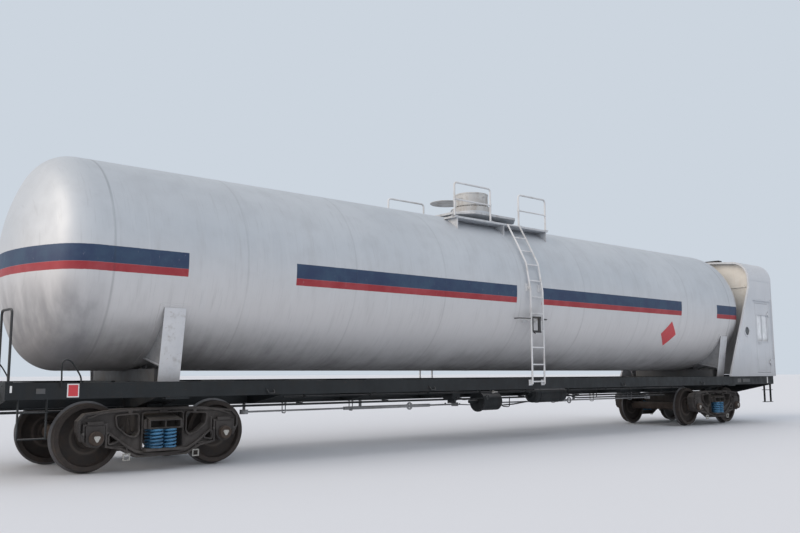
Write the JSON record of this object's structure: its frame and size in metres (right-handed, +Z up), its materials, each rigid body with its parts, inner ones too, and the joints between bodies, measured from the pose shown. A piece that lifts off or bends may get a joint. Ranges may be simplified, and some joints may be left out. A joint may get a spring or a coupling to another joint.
{
  "type": "railway tank car",
  "caption": "Four-axle railway tank car for liquefied gas: long dished-end tank on an open underframe, guarded manway on top, escort cabin at one end, knuckle couplers.",
  "frame": {"origin": "middle of the car over its couplers, on the level of the wheel flanges' lowest points", "axes": "+X along the car towards the cabin end, +Y across it, +Z up"},
  "size_m": [19.064, 3.14, 4.7048],
  "materials": {
    "tank_paint": "silver-grey, dusty",
    "leg_paint": "white, dusty",
    "frame_paint": "black, dusty",
    "dome_paint": "white, soiled",
    "valve_brass": "dull",
    "rail_paint": "light grey",
    "black_rail": "black",
    "cabin_paint": "white-grey",
    "cabin_floor": "worn boards",
    "pane": "clear",
    "coupler_cast": "rusty brown",
    "bogie_cast": "brown-black dust",
    "spring_paint": "blue",
    "axle_steel": "brown",
    "wheel_steel": "brown, bright tread"
  },
  "bodies": {
    "car": {"tank_shell": "tank_paint", "saddle_bases": "frame_paint", "saddle_legs": "leg_paint", "centre_sill": "frame_paint", "side_sills": "frame_paint", "end_sills": "frame_paint", "body_bolsters": "frame_paint", "cross_bearers": "frame_paint", "draft_gears": "frame_paint", "manway_neck": "tank_paint", "manway_cover": "dome_paint", "guard_cylinder": "dome_paint", "manway_valves": "valve_brass", "neck_tray": "tank_paint", "walkway_boards": "rail_paint", "walkway_rails": "rail_paint", "side_ladders": "rail_paint", "corner_steps": "frame_paint", "end_handrails": "black_rail", "hand_brake": "frame_paint", "end_deck": "frame_paint", "brake_cylinder": "frame_paint", "air_reservoir": "frame_paint", "control_valve": "frame_paint", "brake_pipe": "frame_paint", "brake_rods": "frame_paint", "cabin_floor": "cabin_floor", "cabin_side_near": "cabin_paint", "cabin_side_far": "cabin_paint", "cabin_bulkhead": "cabin_paint", "cabin_end_wall": "cabin_paint", "cabin_roof": "cabin_paint", "cabin_panes": "pane"},
    "guard_lid": {"guard_lid": "dome_paint"},
    "door_near": {"cabin_door_near": "cabin_paint", "door_pane_near": "pane"},
    "door_far": {"cabin_door_far": "cabin_paint", "door_pane_far": "pane"},
    "bogie_a": {"bogie_a_side_frames": "bogie_cast", "bogie_a_bolster": "bogie_cast", "bogie_a_springs": "spring_paint", "bogie_a_bearings": "bogie_cast", "bogie_a_brake_beams": "bogie_cast"},
    "wheelset_a1": {"axle_a1": "axle_steel", "wheels_a1": "wheel_steel"},
    "wheelset_a2": {"axle_a2": "axle_steel", "wheels_a2": "wheel_steel"},
    "coupler_a": {"coupler_a": "coupler_cast"},
    "knuckle_a": {"knuckle_a": "coupler_cast"},
    "bogie_b": {"bogie_b_side_frames": "bogie_cast", "bogie_b_bolster": "bogie_cast", "bogie_b_springs": "spring_paint", "bogie_b_bearings": "bogie_cast", "bogie_b_brake_beams": "bogie_cast"},
    "wheelset_b1": {"axle_b1": "axle_steel", "wheels_b1": "wheel_steel"},
    "wheelset_b2": {"axle_b2": "axle_steel", "wheels_b2": "wheel_steel"},
    "coupler_b": {"coupler_b": "coupler_cast"},
    "knuckle_b": {"knuckle_b": "coupler_cast"}
  },
  "joints": [
    {"name": "bogie_a_swivel", "type": "hinge", "parent": "car", "child": "bogie_a", "pos_m": [-6.95, 0, 0.736], "axis": [0, 0, 1], "range_deg": [-5, 5]},
    {"name": "wheelset_a1_roll", "type": "hinge", "parent": "bogie_a", "child": "wheelset_a1", "pos_m": [-7.825, 0, 0.447], "axis": [0, 1, 0], "continuous": true},
    {"name": "wheelset_a2_roll", "type": "hinge", "parent": "bogie_a", "child": "wheelset_a2", "pos_m": [-6.075, 0, 0.447], "axis": [0, 1, 0], "continuous": true},
    {"name": "coupler_a_swing", "type": "hinge", "parent": "car", "child": "coupler_a", "pos_m": [-8.36, 0, 0.907], "axis": [0, 0, 1], "range_deg": [-6, 6]},
    {"name": "knuckle_a_open", "type": "hinge", "parent": "coupler_a", "child": "knuckle_a", "pos_m": [-9.375, 0.12, 0.907], "axis": [0, 0, 1], "range_deg": [-45, 0]},
    {"name": "bogie_b_swivel", "type": "hinge", "parent": "car", "child": "bogie_b", "pos_m": [6.95, 0, 0.736], "axis": [0, 0, 1], "range_deg": [-5, 5]},
    {"name": "wheelset_b1_roll", "type": "hinge", "parent": "bogie_b", "child": "wheelset_b1", "pos_m": [6.075, 0, 0.447], "axis": [0, 1, 0], "continuous": true},
    {"name": "wheelset_b2_roll", "type": "hinge", "parent": "bogie_b", "child": "wheelset_b2", "pos_m": [7.825, 0, 0.447], "axis": [0, 1, 0], "continuous": true},
    {"name": "coupler_b_swing", "type": "hinge", "parent": "car", "child": "coupler_b", "pos_m": [8.36, 0, 0.907], "axis": [0, 0, 1], "range_deg": [-6, 6]},
    {"name": "knuckle_b_open", "type": "hinge", "parent": "coupler_b", "child": "knuckle_b", "pos_m": [9.375, -0.12, 0.907], "axis": [0, 0, 1], "range_deg": [-45, 0]},
    {"name": "guard_lid_close", "type": "hinge", "parent": "car", "child": "guard_lid", "pos_m": [-0.168, 0.356, 4.683], "axis": [1, 0, 0], "range_deg": [0, 180]},
    {"name": "door_near_open", "type": "hinge", "parent": "car", "child": "door_near", "pos_m": [8.744, -1.536, 2.067], "axis": [0, 0, 1], "range_deg": [0, 110]},
    {"name": "door_far_open", "type": "hinge", "parent": "car", "child": "door_far", "pos_m": [8.744, 1.536, 2.067], "axis": [0, 0, 1], "range_deg": [-110, 0]}
  ]
}
